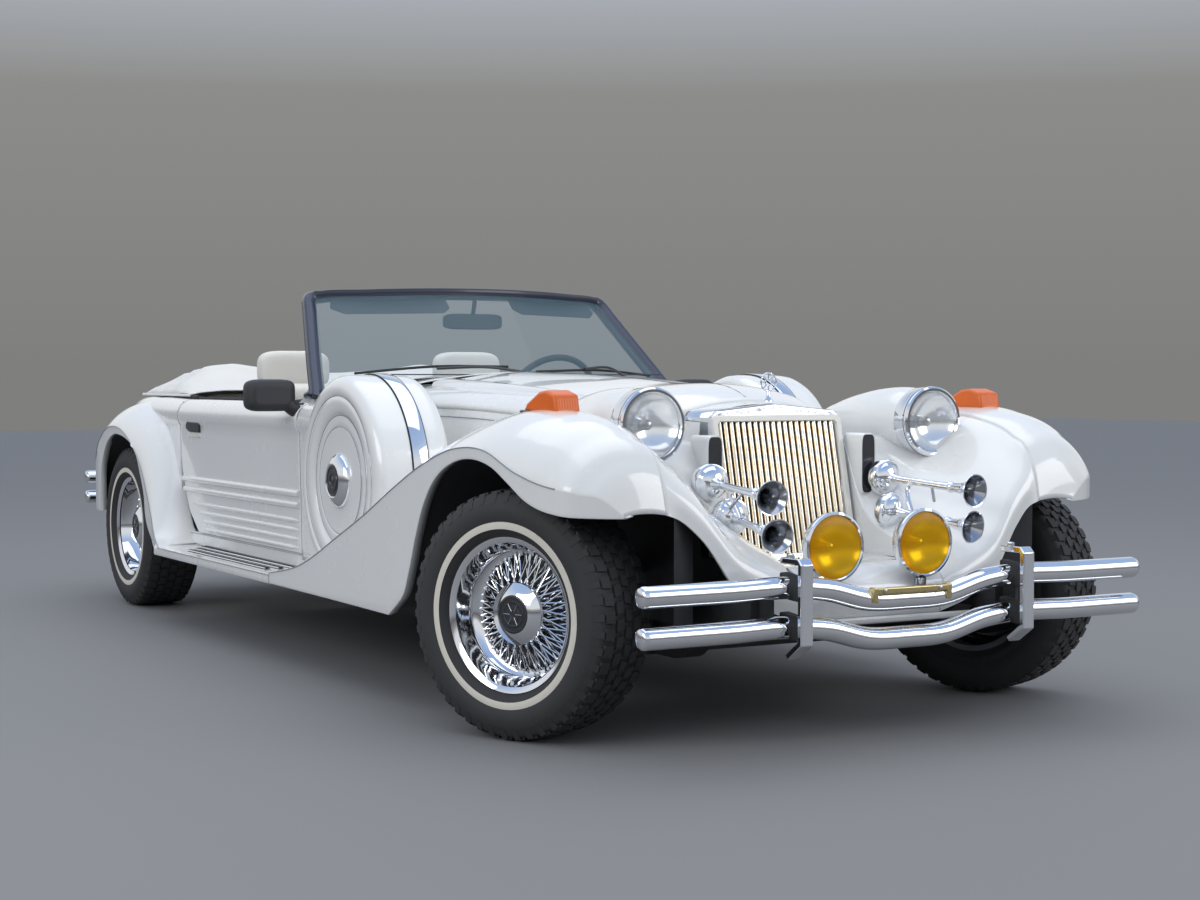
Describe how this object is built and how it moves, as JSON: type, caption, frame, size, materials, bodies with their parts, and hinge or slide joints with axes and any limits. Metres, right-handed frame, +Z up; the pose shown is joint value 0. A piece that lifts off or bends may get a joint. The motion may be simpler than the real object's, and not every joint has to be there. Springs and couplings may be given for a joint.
{
  "type": "neoclassic two-door convertible",
  "caption": "Long-hooded two-door convertible with flowing clamshell wings, side-mounted spare wheels, tall upright grille, tube bumpers and folded soft top.",
  "frame": {"origin": "on the ground below the centre of the overall box", "axes": "+Z up, +Y towards the rear, the front faces -Y, +X is the car's left side"},
  "size_m": [2.0254, 5.028, 1.2798],
  "materials": {
    "body_white": "gloss",
    "chrome": "polished",
    "wheel_chrome": "polished",
    "steel_bright": "brushed",
    "frame_black": "semi-gloss",
    "underbody_black": "matt",
    "engine_grey": "cast",
    "frame_navy": "gloss",
    "trim_dark": "satin",
    "mirror_black": "gloss",
    "rubber_black": "matt",
    "tyre_black": "matt",
    "leather_white": "soft sheen",
    "soft_top_white": "grained cloth",
    "lens_clear": "clear",
    "lens_yellow": "coloured",
    "lens_amber": "coloured",
    "lens_red": "coloured",
    "screen_glass": "clear"
  },
  "bodies": {
    "car_body": {"boot_tub": "underbody_black", "bumper_guards": "chrome", "chassis_frame": "frame_black", "cowl_panel": "body_white", "dashboard": "trim_dark", "engine_block": "engine_grey", "exhaust": "steel_bright", "floor_pan": "underbody_black", "fog_lamp_lenses": "lens_yellow", "front_apron": "body_white", "front_bumper": "chrome", "front_fender_left": "body_white", "front_fender_right": "body_white", "front_seats": "leather_white", "front_suspension": "frame_black", "fuel_tank": "underbody_black", "grille_bars": "chrome", "grille_shell": "chrome", "guard_blocks": "rubber_black", "headlamp_lenses": "lens_clear", "headlamp_pods": "body_white", "hood_sides": "body_white", "horns": "chrome", "lamp_shells": "chrome", "rear_axle": "frame_black", "rear_body": "body_white", "rear_bumper": "chrome", "rear_fender_left": "body_white", "rear_fender_right": "body_white", "rear_seat": "leather_white", "running_boards": "body_white", "soft_top_stack": "soft_top_white", "spare_bands": "chrome", "spare_cover_left": "body_white", "spare_cover_right": "body_white", "steering_column": "trim_dark", "tail_lamps": "lens_red", "turn_signals": "lens_amber", "windshield_frame": "frame_navy", "windshield_glass": "screen_glass"},
    "steering_wheel": {"steering_wheel": "trim_dark"},
    "knuckle_left": {"knuckle_left": "frame_black"},
    "knuckle_right": {"knuckle_right": "frame_black"},
    "front_wheel_left": {"tyre_front_left": "tyre_black", "wheel_front_left": "wheel_chrome"},
    "front_wheel_right": {"tyre_front_right": "tyre_black", "wheel_front_right": "wheel_chrome"},
    "rear_wheel_left": {"tyre_rear_left": "tyre_black", "wheel_rear_left": "wheel_chrome"},
    "rear_wheel_right": {"tyre_rear_right": "tyre_black", "wheel_rear_right": "wheel_chrome"},
    "door_left": {"door_left": "body_white", "door_fittings_left": "mirror_black"},
    "door_right": {"door_right": "body_white", "door_fittings_right": "mirror_black"},
    "hood": {"hood": "body_white"},
    "trunk_lid": {"trunk_lid": "body_white"}
  },
  "joints": [
    {"name": "steer_left", "type": "hinge", "parent": "car_body", "child": "knuckle_left", "pos_m": [0.74, -1.842, 0.331], "axis": [0, 0, 1], "range_deg": [-56.5, 11.5]},
    {"name": "steer_right", "type": "hinge", "parent": "car_body", "child": "knuckle_right", "pos_m": [-0.74, -1.842, 0.331], "axis": [0, 0, 1], "range_deg": [-56.5, 11.5]},
    {"name": "steering_wheel_turn", "type": "hinge", "parent": "car_body", "child": "steering_wheel", "pos_m": [0.36, 0.178, 0.862], "axis": [0, 0.9063, 0.4226], "range_deg": [-791, 161]},
    {"name": "front_wheel_left_spin", "type": "hinge", "parent": "knuckle_left", "child": "front_wheel_left", "pos_m": [0.79543, -1.81904, 0.331], "axis": [0.9239, 0.3827, 0], "continuous": true},
    {"name": "front_wheel_right_spin", "type": "hinge", "parent": "knuckle_right", "child": "front_wheel_right", "pos_m": [-0.79543, -1.86496, 0.331], "axis": [0.9239, 0.3827, 0], "continuous": true},
    {"name": "rear_wheel_left_spin", "type": "hinge", "parent": "car_body", "child": "rear_wheel_left", "pos_m": [0.725, 1.707, 0.331], "axis": [1, 0, 0], "continuous": true},
    {"name": "rear_wheel_right_spin", "type": "hinge", "parent": "car_body", "child": "rear_wheel_right", "pos_m": [-0.725, 1.707, 0.331], "axis": [1, 0, 0], "continuous": true},
    {"name": "door_left_hinge", "type": "hinge", "parent": "car_body", "child": "door_left", "pos_m": [0.772, -0.095, 0.6], "axis": [0, 0, -1], "range_deg": [0, 65]},
    {"name": "door_right_hinge", "type": "hinge", "parent": "car_body", "child": "door_right", "pos_m": [-0.772, -0.095, 0.6], "axis": [0, 0, 1], "range_deg": [0, 65]},
    {"name": "hood_hinge", "type": "hinge", "parent": "car_body", "child": "hood", "pos_m": [0, -0.342, 0.972], "axis": [-1, 0, 0], "range_deg": [0, 55]},
    {"name": "trunk_lid_hinge", "type": "hinge", "parent": "car_body", "child": "trunk_lid", "pos_m": [0, 1.937, 0.862], "axis": [1, 0, 0], "range_deg": [0, 60]}
  ],
  "couplings": [
    {"joint": "steer_right", "follows": "steer_left", "ratio": 1},
    {"joint": "steering_wheel_turn", "follows": "steer_left", "ratio": 14}
  ]
}
